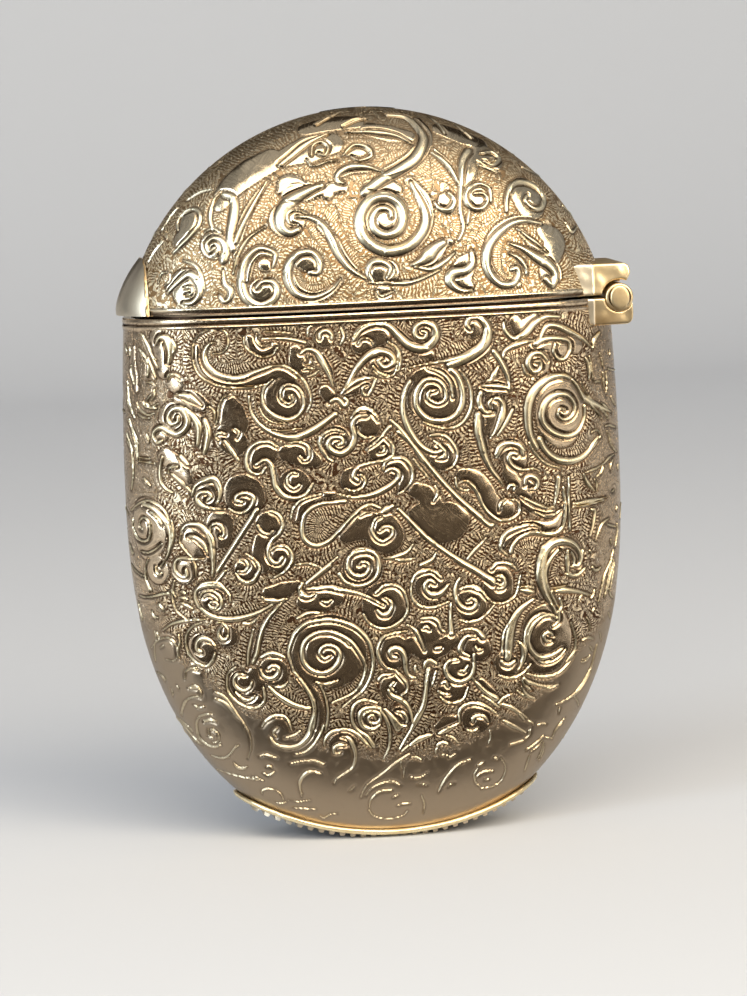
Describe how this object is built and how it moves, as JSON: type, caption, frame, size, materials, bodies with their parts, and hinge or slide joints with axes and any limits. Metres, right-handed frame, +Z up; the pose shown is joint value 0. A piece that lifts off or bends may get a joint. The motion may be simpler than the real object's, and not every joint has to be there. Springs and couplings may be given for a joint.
{
  "type": "vesta case",
  "caption": "Flat oval metal match case with a domed lid on a side hinge, a thumb lip, a ribbed striker under its curved base and all-over chased scrollwork.",
  "frame": {"origin": "crest of the striker's middle rib, the lowest point of the case, in the middle of its width and thickness", "axes": "+Z up from the base to the lid's top, +X towards the hinge, -Y towards the front"},
  "size_m": [0.0347, 0.0124, 0.0493],
  "materials": {
    "chased_silver": "chased and matted silver with a warm tarnish in the ground",
    "plain_silver": "worn polished silver",
    "gilt": "worn gilding on silver",
    "pin_wire": "drawn wire"
  },
  "bodies": {
    "case": {"body_front_shell": "chased_silver", "body_back_shell": "chased_silver", "mouth_collar": "gilt", "base_rim": "plain_silver", "striker_plate": "plain_silver", "lower_hinge_leaf": "plain_silver", "front_knuckle": "plain_silver", "back_knuckle": "plain_silver", "hinge_pin": "pin_wire", "pin_plug_front": "plain_silver", "pin_plug_back": "plain_silver"},
    "lid": {"lid_front_shell": "chased_silver", "lid_back_shell": "chased_silver", "thumb_piece": "plain_silver", "upper_hinge_leaf": "plain_silver", "lid_knuckle": "plain_silver"}
  },
  "joints": [
    {"name": "lid_hinge", "type": "hinge", "parent": "case", "child": "lid", "pos_m": [0.01675, 0, 0.0358], "axis": [0, 1, 0], "range_deg": [0, 95]}
  ]
}
